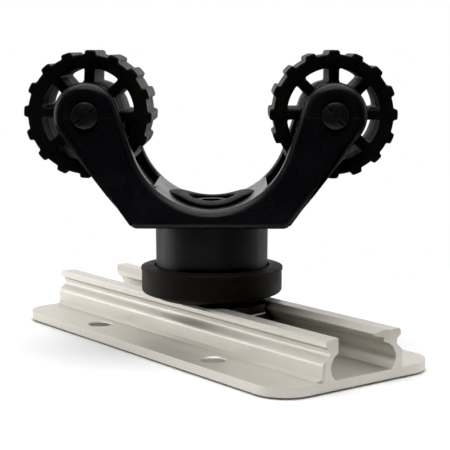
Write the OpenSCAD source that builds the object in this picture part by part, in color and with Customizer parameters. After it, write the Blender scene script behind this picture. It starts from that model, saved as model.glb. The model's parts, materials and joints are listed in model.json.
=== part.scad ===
// Track-mounted roller holder for a rod or paddle shaft.
// A short T-slot track is screwed to a deck. A slider plate runs in its slot and is clamped by one
// bolt that passes down through the yoke and the post. The yoke carries two toothed rollers.
// Frame: X along the track, Z up, origin at the centre of the track's bottom face.

/* [Track] */
// Length of the track
track_l = 103.2; // [80:0.2:200]
// Width of the track's base plate
track_w = 44.45; // [42:0.05:60]
// Thickness of the base plate
plate_t = 2; // [1.6:0.1:2.2]
// Corner radius of the base plate
plate_corner_r = 7.5; // [2:0.5:9]
// Corner radius of the rails' ends, seen from above
rail_end_r = 1.5; // [1:0.1:2.4]
// Length of the lead-in at each end of the slot's mouth
lead_l = 2.6; // [1:0.1:8]
// Distance between the screw holes along the track
hole_pitch_x = 45.6; // [40:0.2:60]
// Distance between the screw holes across the track
hole_pitch_y = 33.2; // [33:0.1:34]
// Diameter of the screw holes
hole_d = 5.2; // [4:0.1:5.4]

/* [Post and pad] */
// Diameter at the post's top
post_top_d = 26; // [22:0.1:26.2]
// Diameter at the post's foot
post_foot_d = 25.7; // [22:0.1:26.2]
// Height of the yoke's underside above the deck
post_top_z = 28.3; // [26:0.1:40]
// Outer diameter of the rubber base pad
pad_d = 32.6; // [31:0.1:36]
// Diameter of the clamp bolt's shank
bolt_d = 6; // [5:0.1:6]

/* [Yoke] */
// Turn of the yoke about the post, measured from the track's direction
yoke_turn = 51.9; // [0:0.1:180]
// Height of the roller axles above the deck
axle_z = 53.2; // [53:0.1:54]
// Distance between the two axles
axle_pitch = 54.4; // [54:0.1:58]
// Depth of the yoke, front face to rear face
yoke_depth = 32.2; // [30:0.1:40]
// Thickness of each arm
arm_t = 4.8; // [4:0.1:5]
// Outer radius of the arms' ends
arm_end_r = 7.2; // [6.5:0.1:7.4]
// Radius of the U between the arms
saddle_r = 17.8; // [17:0.1:18]
// Height of the U's lowest point above the deck
saddle_z = 32.3; // [32:0.1:33]

/* [Rollers] */
// Diameter over the teeth
roller_d = 28.4; // [27:0.1:28.6]
// Diameter between the teeth
roller_root_d = 26.6; // [25.5:0.1:26.8]
// Width of each roller
roller_w = 21.4; // [18:0.1:21.4]
// Number of teeth
teeth = 16; // [8:2:24]
// Number of spokes
spokes = 8; // [4:1:8]
// Width of a spoke and of a tooth
spoke_w = 2.3; // [1.5:0.1:2.6]

/* [Hidden] */
$fn = 96;
eps = 0.01;

// Track section, half of it: y outwards from the centre, z up
rail_top_z = 10.4;
rail_out_y = 11.1;
rail_in_y = 5.1;
lead_w = 2;
rail_base_y = rail_out_y + 0.8;
groove_y = 9.2;
groove_low_z = 5.2;
groove_high_z = 7.6;
groove_steps = 8;
rail_groove = [for (i = [0:groove_steps]) [
    (rail_out_y + groove_y) / 2 + (rail_out_y - groove_y) / 2 * cos(180 * i / groove_steps),
    groove_low_z + (groove_high_z - groove_low_z) * i / groove_steps]];
rail_section = concat(
    [[rail_base_y, 1], [rail_base_y, plate_t], [rail_out_y, plate_t + 0.7]], rail_groove,
    [[9.35, 8.3], [9.8, 8.75], [10.3, 9], [10.3, 9.9], [9.9, rail_top_z], [6.6, rail_top_z],
    [rail_in_y, 9.3], [rail_in_y, 8.85], [6.4, 8.7], [6.4, 7.8], [7.1, 7.5], [8.2, 6.7], [8.9, 5.4],
    [9, 4.4], [8.7, 3.1], [7.8, plate_t], [7.8, 1]]);
hole_lead = 0.3;

// Slider plate
slider_r = 14.8;
foot_section = [[-8.3, 3.4], [8.3, 3.4], [8.3, 5.6], [6.9, 7.35], [-6.9, 7.35], [-8.3, 5.6]];
neck_w = 9.6;
neck_top_z = 10.2;

// Bolt stack, from the floor of the yoke's pocket upwards
bolt_r = bolt_d / 2;
bolt_gap = 0.05;
bolt_hole_r = bolt_r + bolt_gap;
pocket_r = 5.6;
pocket_z = post_top_z + 1.5;
washer_t = 1;
washer_z = pocket_z + 0.05;
bolt_head_t = 2.2;
bolt_head_r = 4.8;
hex_flat = 5;
bolt_tip_z = 2.9;

// Post and pad
post_gap = 0.1;
post_foot_z = rail_top_z + post_gap;
pad_bottom_z = 11.7;
pad_cup_z = 15.2;
pad_lip_z = 17;
pad_rim_z = 17.6;
pad_top_z = 18.1;
pad_lip_r = pad_d / 2 + 0.15;
pad_bore_r = max(post_r(pad_bottom_z), post_r(pad_cup_z)) + 0.08;
pad_cup_r = max(post_r(pad_cup_z), post_r(pad_top_z)) + 0.4;
lug_r = 1.5;
lug_x = 8.5;
lug_h = 2;

// Yoke outline
axle_x = axle_pitch / 2;
half_depth = yoke_depth / 2;
arm_in = half_depth - arm_t;
saddle_cz = saddle_z + saddle_r;
base_half_w = 16.05;
base_corner_r = 2;
recess_x = 12.6;
recess_depth = 2;
wheel_clear = 0.7;
pin_r = 2.4;
run_gap = 0.05;

// Rollers
bush_r = 4;
hub_r = 7.2;
window_r = 10.3;
pin_head_r = 2.9;
pin_head_t = 0.7;
pin_dome = 0.5;
pin_slot_w = 0.45;
pin_slot_depth = 0.5;
pin_slot_in = 1.3;
spacer_r = 6;
spacer_t = 0.5;
left_slot_turn = 33;
right_slot_turn = -45;
left_wheel_turn = -3;

// Saddle pad
shaft_r = 14.5;
saddle_pad_z = 33.45;
saddle_pad_top = 35.45;
saddle_pad_r = 9.8;
saddle_pad_hole_r = 5.5;
seat_depth = 0.4;
seat_gap = 0.15;

// Radius of the tapered post at a height
function post_r(z) =
    (post_foot_d + (post_top_d - post_foot_d) * (z - post_foot_z) / (post_top_z - post_foot_z)) / 2;

// Ends of the line that touches the floor corner's circle and the arm's end circle on their outer side
corner_c = [base_half_w, post_top_z + base_corner_r];
axle_c = [axle_x, axle_z];
outer_turn = atan2(axle_c[1] - corner_c[1], axle_c[0] - corner_c[0])
    - asin((arm_end_r - base_corner_r) / norm(axle_c - corner_c));
outer_way = [sin(outer_turn), -cos(outer_turn)];
outer_low = corner_c + base_corner_r * outer_way;
outer_high = axle_c + arm_end_r * outer_way;

// Ends of the line that touches the U on its inner side and the arm's end circle on the other
inner_turn = atan2(axle_z - saddle_cz, axle_x)
    - acos((saddle_r + arm_end_r) / norm([axle_x, axle_z - saddle_cz]));
inner_way = [cos(inner_turn), sin(inner_turn)];
inner_low = [0, saddle_cz] + saddle_r * inner_way;
inner_high = axle_c - arm_end_r * inner_way;

module rounded_plate(l, w, r) {
    square([l - 2 * r, w], center = true);
    square([l, w - 2 * r], center = true);
    for (sx = [-1, 1], sy = [-1, 1])
        translate([sx * (l / 2 - r), sy * (w / 2 - r)])
            circle(r);
}

// Places a shape in the turned frame of the yoke
module holder_frame() {
    rotate([0, 0, yoke_turn])
        children();
}

// Stands a flat outline (x, z) upright and gives it a thickness, centred on the yoke's middle
module upright(depth) {
    rotate([90, 0, 0])
        translate([0, 0, -depth / 2])
            linear_extrude(depth)
                children();
}

// A cylinder on an axle's line, from one depth to another; depth grows towards the front
module on_axle(side, r, from, to) {
    translate([side * axle_x, -from, axle_z])
        rotate([90, 0, 0])
            cylinder(h = to - from, r = r);
}

// One rail, on the +y side; its lip is cut back at both ends, to lead an accessory into the slot
module rail() {
    difference() {
        intersection() {
            rotate([90, 0, 90])
                translate([0, 0, -track_l / 2])
                    linear_extrude(track_l)
                        polygon(rail_section);
            translate([0, (rail_in_y + rail_base_y) / 2, 0])
                linear_extrude(rail_top_z + 1)
                    rounded_plate(track_l, rail_base_y - rail_in_y, rail_end_r);
        }
        for (end = [0, 1])
            mirror([end, 0, 0])
                translate([track_l / 2, rail_in_y, plate_t + 1])
                    linear_extrude(rail_top_z)
                        polygon([[-lead_l, 0], [-lead_l, -1], [lead_l, -1], [lead_l, 2 * lead_w]]);
    }
}

module track_rail() {
    color("silver")
    difference() {
        union() {
            linear_extrude(plate_t)
                rounded_plate(track_l, track_w, plate_corner_r);
            rail();
            mirror([0, 1, 0])
                rail();
        }
        for (sx = [-1, 1], sy = [-1, 1])
            translate([sx * hole_pitch_x / 2, sy * hole_pitch_y / 2, 0]) {
                translate([0, 0, -1])
                    cylinder(h = plate_t + 2, d = hole_d);
                translate([0, 0, plate_t - hole_lead])
                    cylinder(h = hole_lead + eps, r1 = hole_d / 2, r2 = hole_d / 2 + hole_lead);
            }
    }
}

module slider_plate() {
    color("dimgray")
    difference() {
        intersection() {
            union() {
                rotate([90, 0, 90])
                    translate([0, 0, -slider_r])
                        linear_extrude(2 * slider_r)
                            polygon(foot_section);
                translate([-slider_r, -neck_w / 2, 5])
                    cube([2 * slider_r, neck_w, neck_top_z - 5]);
            }
            cylinder(h = rail_top_z, r = slider_r);
        }
        translate([0, 0, -1])
            cylinder(h = rail_top_z + 2, r = bolt_hole_r);
    }
}

module clamp_bolt() {
    head_z = washer_z + washer_t;
    color("dimgray")
    difference() {
        union() {
            translate([0, 0, bolt_tip_z])
                cylinder(h = head_z - bolt_tip_z, r = bolt_r);
            translate([0, 0, head_z])
                cylinder(h = bolt_head_t - 0.3, r = bolt_head_r);
            translate([0, 0, head_z + bolt_head_t - 0.3])
                cylinder(h = 0.3, r1 = bolt_head_r, r2 = bolt_head_r - 0.3);
        }
        translate([0, 0, head_z + bolt_head_t - 1.4])
            cylinder(h = 2, d = hex_flat / cos(30), $fn = 6);
    }
}

module flat_washer() {
    color("silver")
    difference() {
        translate([0, 0, washer_z])
            cylinder(h = washer_t, r = pocket_r - 0.2);
        translate([0, 0, washer_z - 1])
            cylinder(h = washer_t + 2, r = bolt_r + 0.2);
    }
}

module base_pad() {
    color("#2b2826")
    difference() {
        union() {
            translate([0, 0, pad_bottom_z])
                cylinder(h = pad_lip_z - pad_bottom_z, d = pad_d);
            translate([0, 0, pad_lip_z])
                cylinder(h = pad_rim_z - pad_lip_z, r = pad_lip_r);
            translate([0, 0, pad_rim_z])
                cylinder(h = pad_top_z - pad_rim_z, r1 = pad_lip_r, r2 = pad_cup_r);
        }
        translate([0, 0, pad_bottom_z - 1])
            cylinder(h = pad_top_z, r = pad_bore_r);
        translate([0, 0, pad_cup_z])
            cylinder(h = pad_top_z, r = pad_cup_r);
    }
}

module post() {
    color("#1d1b1c")
    difference() {
        union() {
            translate([0, 0, post_foot_z])
                cylinder(h = post_top_z - post_foot_z, d1 = post_foot_d, d2 = post_top_d);
            holder_frame()
                for (side = [-1, 1])
                    translate([side * lug_x, 0, post_top_z - 1])
                        cylinder(h = 1 + lug_h, r = lug_r);
        }
        translate([0, 0, post_foot_z - 1])
            cylinder(h = post_top_z, r = bolt_hole_r);
    }
}

// Half of the yoke's outline, on the +x side
module yoke_half() {
    difference() {
        union() {
            polygon([[0, post_top_z], [base_half_w, post_top_z], corner_c, outer_low, outer_high,
                     axle_c, inner_high, inner_low, [0, saddle_cz]]);
            translate(corner_c)
                circle(base_corner_r);
            translate(axle_c)
                circle(arm_end_r);
        }
        translate([0, saddle_cz])
            circle(saddle_r);
        translate([-40, 0])
            square([40, 80]);
    }
}

// Round seat for the saddle pad, sunk a little into the U
module seat(r) {
    intersection() {
        upright(2 * saddle_pad_r + 1)
            translate([0, saddle_cz])
                circle(saddle_r + seat_depth);
        translate([0, 0, post_top_z])
            cylinder(h = saddle_cz - post_top_z, r = r);
    }
}

// Step between the arms, from beside the pad up to the roller
module recess() {
    upright(2 * arm_in)
        intersection() {
            translate([0, saddle_cz])
                circle(saddle_r + recess_depth);
            for (side = [-1, 1])
                translate([side * (recess_x + 4) - 4, post_top_z])
                    square([8, saddle_cz - post_top_z]);
        }
}

module yoke() {
    color("#232022")
    holder_frame()
    difference() {
        upright(yoke_depth) {
            yoke_half();
            mirror([1, 0])
                yoke_half();
        }
        for (side = [-1, 1]) {
            on_axle(side, roller_d / 2 + wheel_clear, -arm_in, arm_in);
            on_axle(side, pin_r + run_gap, -half_depth - 1, half_depth + 1);
            translate([side * lug_x, 0, post_top_z - 1])
                cylinder(h = 1 + lug_h + 0.1, r = lug_r);
        }
        recess();
        seat(saddle_pad_r + seat_gap);
        translate([0, 0, pocket_z])
            cylinder(h = saddle_z, r = pocket_r);
        translate([0, 0, post_top_z - 1])
            cylinder(h = saddle_z, r = bolt_hole_r);
    }
}

// A round rubber disc, dished to take a shaft
module saddle_pad() {
    color("#35312e")
    holder_frame()
    difference() {
        seat(saddle_pad_r);
        translate([0, 0, saddle_pad_top])
            cylinder(h = saddle_cz, r = 2 * saddle_pad_r);
        upright(3 * saddle_pad_r)
            translate([0, saddle_pad_z + shaft_r])
                circle(shaft_r);
        cylinder(h = saddle_cz, r = saddle_pad_hole_r);
    }
}

// Outline of a roller: a ribbed rim, spokes and a hub
module roller_outline() {
    difference() {
        union() {
            circle(d = roller_root_d);
            for (i = [0 : teeth - 1])
                rotate(i * 360 / teeth)
                    intersection() {
                        translate([-spoke_w / 2, 0])
                            square([spoke_w, roller_d]);
                        circle(d = roller_d);
                    }
        }
        difference() {
            circle(window_r);
            circle(hub_r);
            for (i = [0 : spokes - 1])
                rotate(i * 360 / spokes)
                    translate([-spoke_w / 2, 0])
                        square([spoke_w, roller_d / 2]);
        }
        circle(bush_r);
    }
}

module wheel(side, turn) {
    color("#2b2826")
    holder_frame()
        translate([side * axle_x, 0, axle_z])
            upright(roller_w)
                rotate(turn)
                    roller_outline();
}

module wheel_bush(side) {
    color("gainsboro")
    holder_frame()
    difference() {
        on_axle(side, bush_r, -roller_w / 2, roller_w / 2);
        on_axle(side, pin_r + run_gap, -roller_w, roller_w);
    }
}

module spacer(side, face) {
    near = face * (arm_in - run_gap - spacer_t / 2);
    color("gainsboro")
    holder_frame()
    difference() {
        on_axle(side, spacer_r, near - spacer_t / 2, near + spacer_t / 2);
        on_axle(side, pin_r + run_gap, -yoke_depth, yoke_depth);
    }
}

// A low dome that closes a pin head or a cap
module domed_head(side, face, turn) {
    dome_r = (pin_head_r * pin_head_r + pin_dome * pin_dome) / (2 * pin_dome);
    translate([side * axle_x, -face * half_depth, axle_z])
        rotate([face * 90, 0, 0])
            difference() {
                intersection() {
                    cylinder(h = pin_head_t + pin_dome, r = pin_head_r);
                    translate([0, 0, pin_head_t + pin_dome - dome_r])
                        sphere(dome_r);
                }
                for (end = [0, 180])
                    rotate([0, 0, turn + end])
                        translate([pin_slot_in, -pin_slot_w / 2, pin_head_t + pin_dome - pin_slot_depth])
                            cube([pin_head_r, pin_slot_w, 1]);
            }
}

module axle_pin(side, turn) {
    color("#2a282b")
    holder_frame() {
        on_axle(side, pin_r, -half_depth, half_depth);
        domed_head(side, 1, turn);
    }
}

// Push-on cap at the rear, a little clear of the pin's end
module axle_cap(side) {
    color("#2a282b")
    holder_frame()
        domed_head(side, -1, 0);
}

track_rail();
slider_plate();
clamp_bolt();
flat_washer();
base_pad();
post();
yoke();
saddle_pad();
wheel(-1, left_wheel_turn);  // left_wheel
wheel(1, 0);  // right_wheel
wheel_bush(-1);  // left_wheel_bush
wheel_bush(1);  // right_wheel_bush
axle_pin(-1, left_slot_turn);  // left_axle_pin
axle_pin(1, right_slot_turn);  // right_axle_pin
axle_cap(-1);  // left_axle_cap
axle_cap(1);  // right_axle_cap
spacer(-1, 1);  // left_front_spacer
spacer(-1, -1);  // left_rear_spacer
spacer(1, 1);  // right_front_spacer
spacer(1, -1);  // right_rear_spacer
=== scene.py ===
import json
import math

import bmesh
import bpy
from mathutils import Matrix, Vector

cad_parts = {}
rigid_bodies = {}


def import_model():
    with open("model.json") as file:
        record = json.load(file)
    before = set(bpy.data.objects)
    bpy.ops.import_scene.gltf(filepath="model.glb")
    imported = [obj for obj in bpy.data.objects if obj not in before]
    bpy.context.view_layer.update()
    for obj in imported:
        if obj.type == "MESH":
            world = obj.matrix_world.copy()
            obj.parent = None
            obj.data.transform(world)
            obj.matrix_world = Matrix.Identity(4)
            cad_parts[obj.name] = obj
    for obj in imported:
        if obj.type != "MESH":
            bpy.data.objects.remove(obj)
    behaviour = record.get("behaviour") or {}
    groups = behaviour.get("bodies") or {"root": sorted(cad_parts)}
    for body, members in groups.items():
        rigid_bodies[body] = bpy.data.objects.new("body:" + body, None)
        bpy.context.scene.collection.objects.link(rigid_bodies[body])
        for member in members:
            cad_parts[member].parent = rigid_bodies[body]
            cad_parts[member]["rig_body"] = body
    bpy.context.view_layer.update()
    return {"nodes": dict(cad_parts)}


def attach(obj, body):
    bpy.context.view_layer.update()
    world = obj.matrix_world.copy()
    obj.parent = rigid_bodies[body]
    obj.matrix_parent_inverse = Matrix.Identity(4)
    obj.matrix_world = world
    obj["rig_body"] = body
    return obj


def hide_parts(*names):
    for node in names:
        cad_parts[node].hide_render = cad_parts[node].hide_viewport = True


for leftover in list(bpy.data.objects):
    bpy.data.objects.remove(leftover)

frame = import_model()
nodes = frame["nodes"]

MM = 0.001

# Sizes of the CAD model that the shapes below go by, in mm
YOKE_TURN = math.radians(51.9)
AXLE_X, AXLE_Z = 27.2, 53.2
YOKE_FACE = 16.1
YOKE_FOOT_Z = 28.3
ARM_INNER = 11.3
PIN_BORE_R = 2.45
RECESS_X = 12.6
SADDLE_CENTRE_Z, SEAT_R = 50.1, 18.2
DISH_R, DISH_LOW_Z, DISH_TOP_Z = 14.5, 33.45, 35.45
SADDLE_PAD_R, SADDLE_HOLE_R = 9.8, 5.5
BASE_PAD_R, BASE_PAD_FOOT_Z = 16.5, 11.7
ROLLER_TIP_R, ROLLER_ROOT_R, ROLLER_HALF_W = 14.2, 13.3, 10.7
ROLLER_HUB_R, ROLLER_WINDOW_R, ROLLER_BORE_R = 7.2, 10.3, 4.0
TEETH, SPOKES, SPOKE_W = 16, 8, 2.3
LEFT_ROLLER_TURN = math.radians(-3)

# Details that only the visual has, in mm
ROLLER_EDGE_R = 0.42
ROLLER_RING_Y = 3.6
ARM_PARTING_Z = AXLE_Z - 0.4
# Height in mm of a pale line painted on the slider: a painted highlight of its lit edge
SLIDER_PAINTED_HIGHLIGHT_Z = 8.15
FLOOR_Z = -0.45

# The yoke's own directions: along it, towards its front, and up
ALONG = Vector((math.cos(YOKE_TURN), math.sin(YOKE_TURN), 0))
DEEP = Vector((math.sin(YOKE_TURN), -math.cos(YOKE_TURN), 0))
UP = Vector((0, 0, 1))


# ---------------------------------------------------------------- edge tests

# An edge is sharp from this angle in degrees; places and heights agree within these sizes in mm
SHARP_ANGLE = 28
SAME_PLACE = 0.05
SAME_HEIGHT = 0.02


def in_yoke(point):
    """A point in mm in the yoke's own turned frame: x along the yoke, d towards its front, z up."""
    return point.dot(ALONG) / MM, point.dot(DEEP) / MM, point.z / MM


def is_sharp(edge):
    return len(edge.link_faces) == 2 and edge.calc_face_angle(0) > math.radians(SHARP_ANGLE)


def is_outward(edge):
    return edge.calc_face_angle_signed(0) > 0


def every_edge(edge):
    return True


def lies_at_depth(edge, depth):
    return all(abs(abs(in_yoke(v.co)[1]) - depth) < SAME_PLACE for v in edge.verts)


def off_axle(edge):
    """True if the edge isn't one of the small circles round an axle."""
    x, _, z = in_yoke(edge.verts[0].co)
    return math.hypot(abs(x) - AXLE_X, z - AXLE_Z) > PIN_BORE_R + 0.2


def yoke_face_outline(edge):
    return lies_at_depth(edge, YOKE_FACE) and off_axle(edge)


def yoke_arms_outline(edge):
    """The faces' outline without the flat foot and its two corners."""
    return yoke_face_outline(edge) and all(v.co.z / MM > YOKE_FOOT_Z + 1 for v in edge.verts)


def arm_inner_outline(edge):
    return lies_at_depth(edge, ARM_INNER) and off_axle(edge) and is_outward(edge)


def recess_step(edge):
    """The crests of the steps beside the saddle, which run along the depth."""
    ends = [in_yoke(v.co) for v in edge.verts]
    at_step = all(abs(abs(x) - RECESS_X) < SAME_PLACE for x, _, _ in ends)
    return at_step and abs(ends[0][2] - ends[1][2]) < SAME_HEIGHT


def base_pad_rim(edge):
    """The corner at the foot of the base pad's outer side."""
    return all(math.hypot(v.co.x, v.co.y) / MM > BASE_PAD_R - 0.5
               and abs(v.co.z / MM - BASE_PAD_FOOT_Z) < 0.3 for v in edge.verts)


# ---------------------------------------------------------------- shapes

def place_in_scene(name, data):
    piece = bpy.data.objects.new(name, data)
    bpy.context.scene.collection.objects.link(piece)
    return piece


def stand_in(piece, node, angle=30):
    """Smooth shading that stays flat on flat faces, and the piece shown in place of its CAD node."""
    mesh = piece.data
    mesh.shade_smooth()
    mesh.set_sharp_from_angle(angle=math.radians(angle))
    weighted = piece.modifiers.new("even_normals", "WEIGHTED_NORMAL")
    weighted.keep_sharp = True
    weighted.weight = 60
    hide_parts(node)
    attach(piece, nodes[node]["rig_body"])


def merge_triangles(bm):
    bmesh.ops.remove_doubles(bm, verts=bm.verts, dist=0.002 * MM)
    bmesh.ops.dissolve_limit(bm, angle_limit=math.radians(1), verts=bm.verts, edges=bm.edges,
                             delimit=set())


def round_edges(bm, width, segments, test, clamp):
    bm.normal_update()
    edges = [e for e in bm.edges if is_sharp(e) and test(e)]
    if edges:
        bmesh.ops.bevel(bm, geom=edges, offset=width * MM, offset_type="OFFSET", segments=segments,
                        profile=0.5, affect="EDGES", clamp_overlap=clamp)


def skin(node, rules, clamp=True):
    """A copy of a CAD node with its flat triangles merged and its edges rounded, shown in its place.
    rules is a list of (width in mm, segments, test); the rules are applied one after another."""
    mesh = nodes[node].data.copy()
    piece = place_in_scene(node + "_skin", mesh)
    bm = bmesh.new()
    bm.from_mesh(mesh)
    merge_triangles(bm)
    for width, segments, test in rules:
        round_edges(bm, width, segments, test, clamp)
    bm.normal_update()
    bm.to_mesh(mesh)
    bm.free()
    stand_in(piece, node)
    return piece


def dish_height(x):
    """Height in mm of the saddle pad's top at a distance x from its middle: a dish with rounded humps."""
    dish = DISH_LOW_Z + DISH_R - math.sqrt(max(DISH_R ** 2 - x * x, 0))
    blend = 0.35
    return -blend * math.log(math.exp(-dish / blend) + math.exp(-DISH_TOP_Z / blend))


def seat_height(x):
    return SADDLE_CENTRE_Z - math.sqrt(SEAT_R ** 2 - x * x)


def quarter_turns(steps):
    return [math.radians(90 * step / steps) for step in range(steps + 1)]


def pad_section():
    """Cross-section of the saddle pad's ring from the hole's foot over the top to the outer foot:
    (radius in mm, share of the height)."""
    rim, brow = 0.35, 0.6
    foot = [(SADDLE_HOLE_R, 0.0), (SADDLE_HOLE_R, 0.45)]
    inner = [(SADDLE_HOLE_R + rim * (1 - math.cos(turn)), 0.8 + 0.2 * math.sin(turn))
             for turn in quarter_turns(4)]
    crown = [(SADDLE_HOLE_R + 1.9, 1.0), (SADDLE_HOLE_R + 2.6, 0.97), (SADDLE_PAD_R - 1.1, 0.9)]
    outer = [(SADDLE_PAD_R - brow * (1 - math.sin(turn)), 0.4 + 0.42 * math.cos(turn))
             for turn in quarter_turns(6)]
    return foot + inner + crown + outer + [(SADDLE_PAD_R, 0.0)]


def saddle_pad_ring(bm, section, turn):
    """The section's points at one turn round the pad's middle."""
    ring = []
    for radius, share in section:
        x = radius * math.cos(turn)
        low = seat_height(x)
        height = low + share * (dish_height(x) - low)
        ring.append(bm.verts.new((ALONG * x + DEEP * radius * math.sin(turn) + UP * height) * MM))
    return ring


def saddle_pad_mesh(node, steps=160):
    """The dished rubber disc, swept round its own middle."""
    bm = bmesh.new()
    section = pad_section()
    rings = [saddle_pad_ring(bm, section, 2 * math.pi * step / steps) for step in range(steps)]
    for here, there in zip(rings, rings[1:] + rings[:1]):
        for k in range(len(section)):
            nxt = (k + 1) % len(section)
            bm.faces.new((here[k], here[nxt], there[nxt], there[k]))
    bmesh.ops.recalc_face_normals(bm, faces=bm.faces)
    mesh = bpy.data.meshes.new("dished_pad")
    bm.to_mesh(mesh)
    bm.free()
    piece = place_in_scene("dished_pad", mesh)
    stand_in(piece, node, angle=45)
    return piece


def round_corner(before, corner, after, cut, steps=5):
    """Points of a smooth curve that replaces a corner of a flat outline, starting cut mm before it."""
    start = corner + (before - corner).normalized() * cut
    end = corner + (after - corner).normalized() * cut
    points = []
    for step in range(steps + 1):
        t = step / steps
        points.append((1 - t) ** 2 * start + 2 * t * (1 - t) * corner + t ** 2 * end)
    return points


def rounded_loop(marked):
    """A flat outline from a list of (point, cut); corners with a cut of more than 0 are rounded."""
    loop = []
    for i, (point, cut) in enumerate(marked):
        if cut:
            loop += round_corner(marked[i - 1][0], point, marked[(i + 1) % len(marked)][0], cut)
        else:
            loop.append(point)
    return loop


def on_circle(radius, turn):
    return Vector((radius * math.cos(turn), radius * math.sin(turn)))


def tread_loop():
    """Outline of the ribbed rim, whose ribs are a little wider at the root than at the tip."""
    tip_cut, root_cut, lean = 0.5, 0.3, 0.012
    gap_steps = 6
    pitch = 2 * math.pi / TEETH
    tip_half = math.asin(SPOKE_W / 2 / ROLLER_TIP_R)
    root_half = math.asin(SPOKE_W / 2 / ROLLER_ROOT_R) + lean
    gap = pitch - 2 * root_half
    marked = []
    for tooth in range(TEETH):
        mid = tooth * pitch + math.pi / 2
        marked.append((on_circle(ROLLER_ROOT_R, mid - root_half), root_cut))
        marked.append((on_circle(ROLLER_TIP_R, mid - tip_half), tip_cut))
        marked.append((on_circle(ROLLER_TIP_R, mid), 0))
        marked.append((on_circle(ROLLER_TIP_R, mid + tip_half), tip_cut))
        marked.append((on_circle(ROLLER_ROOT_R, mid + root_half), root_cut))
        for step in range(1, gap_steps):
            marked.append((on_circle(ROLLER_ROOT_R, mid + root_half + gap * step / gap_steps), 0))
    return rounded_loop(marked)


def window_loop(index):
    """Outline of one opening between two spokes, run the other way round than the rim."""
    corner_cut = 0.6
    mid = (index + 0.5) * 2 * math.pi / SPOKES + math.pi / 2
    outer_half = math.pi / SPOKES - math.asin(SPOKE_W / 2 / ROLLER_WINDOW_R)
    inner_half = math.pi / SPOKES - math.asin(SPOKE_W / 2 / ROLLER_HUB_R)
    marked = []
    for radius, half, steps in ((ROLLER_WINDOW_R, outer_half, 8), (ROLLER_HUB_R, -inner_half, 4)):
        for step in range(steps + 1):
            cut = corner_cut if step in (0, steps) else 0
            marked.append((on_circle(radius, mid + half * (1 - 2 * step / steps)), cut))
    return rounded_loop(marked)


def bore_loop(steps=64):
    return [on_circle(ROLLER_BORE_R, -2 * math.pi * step / steps) for step in range(steps)]


def moulded_mesh(name, loops, half_width, edge):
    """A flat shape with openings made solid, its rims rounded to a radius of edge mm."""
    curve = bpy.data.curves.new(name, "CURVE")
    curve.dimensions = "2D"
    curve.fill_mode = "BOTH"
    curve.extrude = (half_width - edge) * MM
    curve.bevel_depth = edge * MM
    curve.bevel_resolution = 3
    curve.offset = -edge * MM
    for loop in loops:
        spline = curve.splines.new("POLY")
        spline.points.add(len(loop) - 1)
        for point, place in zip(spline.points, loop):
            point.co = (place.x * MM, place.y * MM, 0, 1)
        spline.use_cyclic_u = True
    shape = place_in_scene(name, curve)
    mesh = bpy.data.meshes.new_from_object(shape.evaluated_get(bpy.context.evaluated_depsgraph_get()))
    bpy.data.objects.remove(shape)
    return mesh


def weld(mesh):
    bm = bmesh.new()
    bm.from_mesh(mesh)
    bmesh.ops.remove_doubles(bm, verts=bm.verts, dist=0.004 * MM)
    bmesh.ops.recalc_face_normals(bm, faces=bm.faces)
    bm.to_mesh(mesh)
    bm.free()


def roller_mesh(node, side, turn):
    """A roller moulded from its side view, with ribbed rim, spokes and hub, and set on its axle."""
    loops = [tread_loop(), bore_loop()] + [window_loop(i) for i in range(SPOKES)]
    mesh = moulded_mesh(node + "_outline", loops, ROLLER_HALF_W, ROLLER_EDGE_R)
    stand = Matrix((ALONG, UP, DEEP)).transposed().to_4x4()
    stand.translation = (ALONG * side * AXLE_X + UP * AXLE_Z) * MM
    mesh.transform(stand @ Matrix.Rotation(turn, 4, "Z"))
    weld(mesh)
    piece = place_in_scene(node + "_moulding", mesh)
    stand_in(piece, node, angle=40)
    return piece


# ---------------------------------------------------------------- materials

class Graph:
    """A node tree that is built up in small steps."""

    def __init__(self, tree):
        self.tree = tree

    def node(self, kind, **settings):
        made = self.tree.nodes.new(kind)
        for key, value in settings.items():
            setattr(made, key, value)
        return made

    def link(self, source, target):
        self.tree.links.new(source, target)

    def ramp(self, value, low, high, to_low, to_high, smooth=False):
        """Turns the range low to high into the range to_low to to_high."""
        ranged = self.node("ShaderNodeMapRange", interpolation_type="SMOOTHSTEP" if smooth else "LINEAR")
        for name, number in zip(("From Min", "From Max", "To Min", "To Max"), (low, high, to_low, to_high)):
            ranged.inputs[name].default_value = number
        self.link(value, ranged.inputs["Value"])
        return ranged.outputs["Result"]

    def axis(self, vector, name):
        split = self.node("ShaderNodeSeparateXYZ")
        self.link(vector, split.inputs["Vector"])
        return split.outputs[name]


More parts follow.
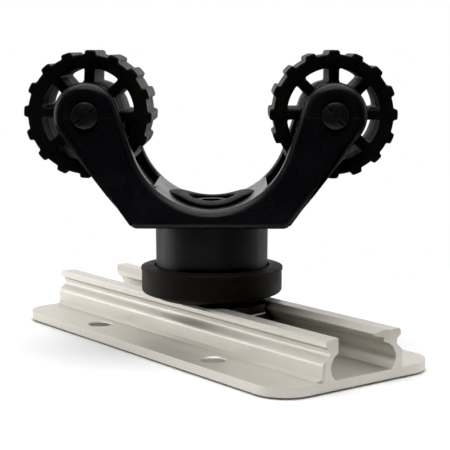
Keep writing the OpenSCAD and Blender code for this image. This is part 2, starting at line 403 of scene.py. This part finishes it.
class Look(Graph):
    """A Principled material that is built up from a few procedural layers in the object's own space."""

    def __init__(self, name, colour, roughness, metallic=0.0, specular=0.5):
        self.material = bpy.data.materials.new(name)
        self.material.use_nodes = True
        super().__init__(self.material.node_tree)
        self.shader = self.tree.nodes["Principled BSDF"]
        self.shader.inputs["Base Color"].default_value = (*colour, 1.0)
        self.shader.inputs["Roughness"].default_value = roughness
        self.shader.inputs["Metallic"].default_value = metallic
        self.shader.inputs["Specular IOR Level"].default_value = specular
        self.colour = colour
        self.roughness = roughness
        self.place = self.node("ShaderNodeTexCoord").outputs["Object"]
        self.bump = None

    def in_mm(self, stretch=(1, 1, 1), turn=0.0):
        """The object's own space in mm, stretched and then turned about Z."""
        mapping = self.node("ShaderNodeMapping")
        mapping.inputs["Rotation"].default_value = (0, 0, turn)
        mapping.inputs["Scale"].default_value = [s / MM for s in stretch]
        self.link(self.place, mapping.inputs["Vector"])
        return mapping.outputs["Vector"]

    def noise(self, scale, detail=3.0, stretch=(1, 1, 1)):
        """Noise with scale features per mm; a small stretch along an axis draws it out that way."""
        noise = self.node("ShaderNodeTexNoise")
        noise.inputs["Scale"].default_value = scale
        noise.inputs["Detail"].default_value = detail
        self.link(self.in_mm(stretch), noise.inputs["Vector"])
        return noise.outputs["Fac"]

    def line_at(self, axis, where, width, turn=0.0):
        """1 in a thin line where the place along an axis, turned about Z, is near a value in mm, else 0."""
        gap = self.node("ShaderNodeMath", operation="SUBTRACT")
        self.link(self.axis(self.in_mm(turn=-turn), axis), gap.inputs[0])
        gap.inputs[1].default_value = where
        size = self.node("ShaderNodeMath", operation="ABSOLUTE")
        self.link(gap.outputs[0], size.inputs[0])
        return self.ramp(size.outputs[0], 0.4 * width, width, 1.0, 0.0)

    def vary_roughness(self, noise, spread):
        """Lets the roughness wander by up to spread on both sides of its middle value."""
        wander = self.ramp(noise, 0.3, 0.7, self.roughness - spread, self.roughness + spread)
        self.link(wander, self.shader.inputs["Roughness"])

    def tint(self, mask, colour):
        """Lays another colour over the present one where mask is 1."""
        mix = self.node("ShaderNodeMix", data_type="RGBA")
        current = self.shader.inputs["Base Color"]
        if current.is_linked:
            self.link(current.links[0].from_socket, mix.inputs["A"])
        else:
            mix.inputs["A"].default_value = (*self.colour, 1.0)
        mix.inputs["B"].default_value = (*colour, 1.0)
        self.link(mask, mix.inputs["Factor"])
        self.link(mix.outputs["Result"], current)

    def mottle(self, noise, start, full, strength, colour):
        """Lays another colour over the present one where the noise rises from start to full."""
        self.tint(self.ramp(noise, start, full, 0.0, strength), colour)

    def relief(self, height, depth):
        """Adds bump of the given depth in mm on top of any bump already there."""
        bump = self.node("ShaderNodeBump")
        bump.inputs["Distance"].default_value = depth * MM
        bump.inputs["Strength"].default_value = 1.0
        self.link(height, bump.inputs["Height"])
        if self.bump:
            self.link(self.bump, bump.inputs["Normal"])
        self.bump = bump.outputs["Normal"]
        self.link(self.bump, self.shader.inputs["Normal"])


def blasted_aluminium():
    look = Look("satin_anodised_aluminium", (0.625, 0.60, 0.547), roughness=0.46, metallic=0.88)
    grain = look.noise(scale=5.0, detail=2.0)
    drawn = look.noise(scale=1.2, stretch=(0.02, 1, 1))
    look.vary_roughness(look.noise(scale=0.08, detail=2.0), spread=0.04)
    look.mottle(drawn, start=0.45, full=0.75, strength=0.2, colour=(0.55, 0.527, 0.48))
    look.mottle(grain, start=0.5, full=0.8, strength=0.5, colour=(0.74, 0.717, 0.665))
    look.relief(grain, depth=0.016)
    look.relief(drawn, depth=0.002)
    return look.material


def moulded_plastic():
    """The yoke's plastic, with the mould's parting line across the arms."""
    look = Look("satin_black_plastic", (0.0085, 0.0078, 0.0092), roughness=0.26, specular=0.18)
    flow = look.noise(scale=0.12)
    look.vary_roughness(flow, spread=0.06)
    look.mottle(flow, start=0.4, full=0.9, strength=0.3, colour=(0.016, 0.014, 0.015))
    look.relief(look.noise(scale=3.5, detail=2.0), depth=0.003)
    look.relief(flow, depth=0.05)
    look.relief(look.line_at("Z", ARM_PARTING_Z, width=0.16), depth=0.03)
    return look.material


def post_plastic():
    look = Look("matte_black_plastic", (0.0062, 0.0056, 0.0058), roughness=0.43, specular=0.24)
    streak = look.noise(scale=0.7, stretch=(1, 1, 0.06))
    look.vary_roughness(streak, spread=0.07)
    look.relief(look.noise(scale=4.0, detail=2.0), depth=0.006)
    look.relief(streak, depth=0.004)
    return look.material


def rubber(name, colour, roughness, dust):
    """Matte rubber with paler blotches and specks of dust; dust is how strong the specks are."""
    look = Look(name, colour, roughness, specular=0.08)
    blotch = look.noise(scale=0.3)
    look.vary_roughness(blotch, spread=0.08)
    look.mottle(blotch, start=0.45, full=0.75, strength=0.6, colour=[1.35 * c for c in colour])
    look.mottle(look.noise(scale=2.2, detail=1.0), start=0.7, full=0.8, strength=dust,
                colour=(0.06, 0.055, 0.05))
    look.relief(look.noise(scale=3.0, detail=4.0), depth=0.02)
    look.relief(blotch, depth=0.04)
    look.shader.inputs["Sheen Weight"].default_value = 0.06
    look.shader.inputs["Sheen Tint"].default_value = (0.8, 0.75, 0.68, 1)
    return look


def roller_rubber():
    """The rollers' rubber, with two fine dark rings round the tread and through the openings."""
    look = rubber("roller_rubber", (0.0065, 0.006, 0.0058), roughness=0.5, dust=0.3)
    rings = look.node("ShaderNodeMath", operation="MAXIMUM")
    for socket, depth in zip(rings.inputs, (-ROLLER_RING_Y, ROLLER_RING_Y)):
        look.link(look.line_at("Y", depth, width=0.55, turn=YOKE_TURN), socket)
    look.relief(rings.outputs[0], depth=-0.05)
    for name, level in (("Sheen Weight", 0.15), ("Specular IOR Level", 0.08)):
        look.link(look.ramp(rings.outputs[0], 0, 1, level, 0.0), look.shader.inputs[name])
    return look.material


def dark_steel(name, painted_highlight_z=None):
    """Blackened steel, with an optional thin pale line at a given height in mm: a painted highlight where
    an edge catches the light.
    """
    look = Look(name, (0.012, 0.0115, 0.0125), roughness=0.35, metallic=0.15, specular=0.3)
    wear = look.noise(scale=0.9, detail=4.0)
    look.vary_roughness(wear, spread=0.09)
    look.mottle(wear, start=0.62, full=0.8, strength=0.5, colour=(0.05, 0.047, 0.045))
    look.relief(look.noise(scale=4.0, detail=2.0), depth=0.005)
    # Painted highlight: a pale line at this height where the edge catches the light
    if painted_highlight_z:
        look.tint(look.line_at("Z", painted_highlight_z, width=0.17), (0.95, 0.92, 0.85))
    return look.material


def bright_steel():
    look = Look("washer_steel", (0.42, 0.41, 0.40), roughness=0.365, metallic=1.0)
    turned = look.noise(scale=1.5)
    look.vary_roughness(turned, spread=0.085)
    look.relief(turned, depth=0.006)
    return look.material


def nylon():
    look = Look("black_nylon", (0.022, 0.021, 0.021), roughness=0.5)
    look.vary_roughness(look.noise(scale=0.8), spread=0.08)
    look.relief(look.noise(scale=4.0, detail=2.0), depth=0.006)
    return look.material


def dress(piece, material):
    piece.data.materials.clear()
    piece.data.materials.append(material)


# ---------------------------------------------------------------- pieces

ALUMINIUM = blasted_aluminium()
YOKE_PLASTIC = moulded_plastic()
POST_PLASTIC = post_plastic()
PAD_RUBBER = rubber("pad_rubber", (0.008, 0.007, 0.0062), roughness=0.55, dust=0.4).material
ROLLER_RUBBER = roller_rubber()
BLACK_STEEL = dark_steel("black_oxide_steel")
SLIDER_STEEL = dark_steel("slider_steel", SLIDER_PAINTED_HIGHLIGHT_Z)
NYLON = nylon()

# Rounding rules: width in mm, segments, and the test for the edges that they go on
BROKEN_EDGE = (0.3, 3, every_edge)
FINE_EDGE = (0.1, 2, every_edge)
BOLT_EDGE = (0.15, 2, every_edge)
BASE_PAD_FOOT = (0.9, 5, base_pad_rim)
YOKE_ROUNDING = [(2.3, 9, yoke_arms_outline), (1.2, 6, yoke_face_outline),
                 (1.7, 8, arm_inner_outline), (2.2, 7, recess_step)]

SKINS = {
    "track_rail": (ALUMINIUM, [BROKEN_EDGE]),
    "slider_plate": (SLIDER_STEEL, [BROKEN_EDGE]),
    "base_pad": (PAD_RUBBER, [BASE_PAD_FOOT, BROKEN_EDGE]),
    "post": (POST_PLASTIC, [BROKEN_EDGE]),
    "left_axle_pin": (BLACK_STEEL, [FINE_EDGE]),
    "right_axle_pin": (BLACK_STEEL, [FINE_EDGE]),
    "left_axle_cap": (BLACK_STEEL, [FINE_EDGE]),
    "right_axle_cap": (BLACK_STEEL, [FINE_EDGE]),
    "clamp_bolt": (BLACK_STEEL, [BOLT_EDGE]),
}
NYLON_NODES = ("left_wheel_bush", "right_wheel_bush", "left_front_spacer", "left_rear_spacer",
               "right_front_spacer", "right_rear_spacer")

for node, (material, rules) in SKINS.items():
    dress(skin(node, rules), material)
dress(skin("yoke", YOKE_ROUNDING, clamp=False), YOKE_PLASTIC)
dress(saddle_pad_mesh("saddle_pad"), PAD_RUBBER)
dress(roller_mesh("left_wheel", -1, LEFT_ROLLER_TURN), ROLLER_RUBBER)
dress(roller_mesh("right_wheel", 1, 0.0), ROLLER_RUBBER)
dress(nodes["flat_washer"], bright_steel())
for node in NYLON_NODES:
    dress(nodes[node], NYLON)


# ---------------------------------------------------------------- floor, light and camera

CAMERA_AZIMUTH = math.radians(52.7)
CAMERA_ELEVATION = math.radians(7.73)
CAMERA_DISTANCE = 0.299
CAMERA_AIM = Vector((0.00268, 0.00179, 0.02727))
CAMERA_LENS = 103.5

TO_CAMERA = Vector((math.sin(CAMERA_AZIMUTH), -math.cos(CAMERA_AZIMUTH), 0))
TO_RIGHT = Vector((math.cos(CAMERA_AZIMUTH), math.sin(CAMERA_AZIMUTH), 0))

LIGHT_AIM = Vector((0, 0, 0.03))
BLACK_LEVEL = 0.003

# How bright the room is in reflections: (direction, brightness), where direction runs from 0,
# straight towards the camera, to 1, straight away from it
ROOM_LEVELS = ((0.0, 0.12), (0.02, 0.12), (0.05, 0.01), (0.12, 0.01), (0.3, 0.12), (0.6, 0.5), (1.0, 1.0))


def stage_floor(radius=0.1):
    bpy.ops.mesh.primitive_circle_add(vertices=128, radius=radius, fill_type="NGON",
                                      location=(0, 0, FLOOR_Z * MM))
    floor = bpy.context.object
    floor.name = "floor"
    look = Look("pale_floor", (0.93, 0.93, 0.93), roughness=0.9, specular=0.1)
    look.relief(look.noise(scale=0.5), depth=0.01)
    dress(floor, look.material)


def soft_box(name, towards, distance, size, power):
    """A soft light that shines on the object from a direction, and isn't seen itself."""
    lamp = bpy.data.lights.new(name, "AREA")
    lamp.shape = "RECTANGLE"
    lamp.size, lamp.size_y = size
    lamp.energy = power
    box = place_in_scene(name, lamp)
    way = towards.normalized()
    box.location = LIGHT_AIM + way * distance
    box.rotation_mode = "QUATERNION"
    box.rotation_quaternion = (-way).to_track_quat("-Z", "Y")
    box.visible_camera = False


def room_level(graph, way):
    """The room's brightness in a direction, from ROOM_LEVELS."""
    facing = graph.node("ShaderNodeVectorMath", operation="DOT_PRODUCT")
    facing.inputs[1].default_value = -TO_CAMERA
    graph.link(way, facing.inputs[0])
    level = graph.node("ShaderNodeFloatCurve")
    points = level.mapping.curves[0].points
    first, *between, last = ROOM_LEVELS
    points[0].location = first
    points[1].location = last
    for place, height in between:
        points.new(place, height)
    level.mapping.update()
    graph.link(graph.ramp(facing.outputs["Value"], -1, 1, 0, 1), level.inputs["Value"])
    return level.outputs["Value"]


def white_background(graph):
    shader = graph.node("ShaderNodeBackground")
    shader.inputs["Color"].default_value = (1, 1, 1, 1)
    return shader


def studio_world():
    """A white room: pure white to the camera, and in reflections bright behind and dark in front."""
    world = bpy.data.worlds.new("studio")
    bpy.context.scene.world = world
    world.use_nodes = True
    world.node_tree.nodes.clear()
    graph = Graph(world.node_tree)
    way = graph.node("ShaderNodeTexCoord").outputs["Generated"]
    above_floor = graph.ramp(graph.axis(way, "Z"), -0.25, 0.05, 0.25, 1.0, smooth=True)
    strength = graph.node("ShaderNodeMath", operation="MULTIPLY")
    graph.link(room_level(graph, way), strength.inputs[0])
    graph.link(above_floor, strength.inputs[1])
    reflected = white_background(graph)
    graph.link(strength.outputs[0], reflected.inputs["Strength"])
    pick = graph.node("ShaderNodeMixShader")
    graph.link(graph.node("ShaderNodeLightPath").outputs["Is Camera Ray"], pick.inputs[0])
    graph.link(reflected.outputs[0], pick.inputs[1])
    graph.link(white_background(graph).outputs[0], pick.inputs[2])
    graph.link(pick.outputs[0], graph.node("ShaderNodeOutputWorld").inputs["Surface"])


def studio_light():
    studio_world()
    soft_box("overhead", towards=UP, distance=0.6, size=(0.8, 0.8), power=5.3)
    soft_box("left_side", towards=-TO_RIGHT - 0.3 * TO_CAMERA + 0.15 * UP,
             distance=0.6, size=(0.5, 0.5), power=1.4)
    soft_box("right_side", towards=TO_RIGHT - 0.6 * TO_CAMERA + 0.15 * UP,
             distance=0.6, size=(0.2, 0.4), power=0.26)
    soft_box("front_key", towards=UP + 0.8 * TO_CAMERA,
             distance=0.7, size=(0.5, 0.15), power=0.35)
    view = bpy.context.scene.view_settings
    view.view_transform = "Standard"
    view.use_curve_mapping = True
    view.curve_mapping.black_level = [BLACK_LEVEL] * 3


def photo_camera():
    data = bpy.data.cameras.new("photo_camera")
    data.lens = CAMERA_LENS
    data.sensor_width = 36
    data.clip_start = 0.01
    data.clip_end = 20
    camera = place_in_scene("photo_camera", data)
    back = TO_CAMERA * math.cos(CAMERA_ELEVATION) + UP * math.sin(CAMERA_ELEVATION)
    camera.location = CAMERA_AIM + back * CAMERA_DISTANCE
    camera.rotation_mode = "QUATERNION"
    camera.rotation_quaternion = (-back).to_track_quat("-Z", "Y")
    bpy.context.scene.camera = camera


stage_floor()
studio_light()
photo_camera()
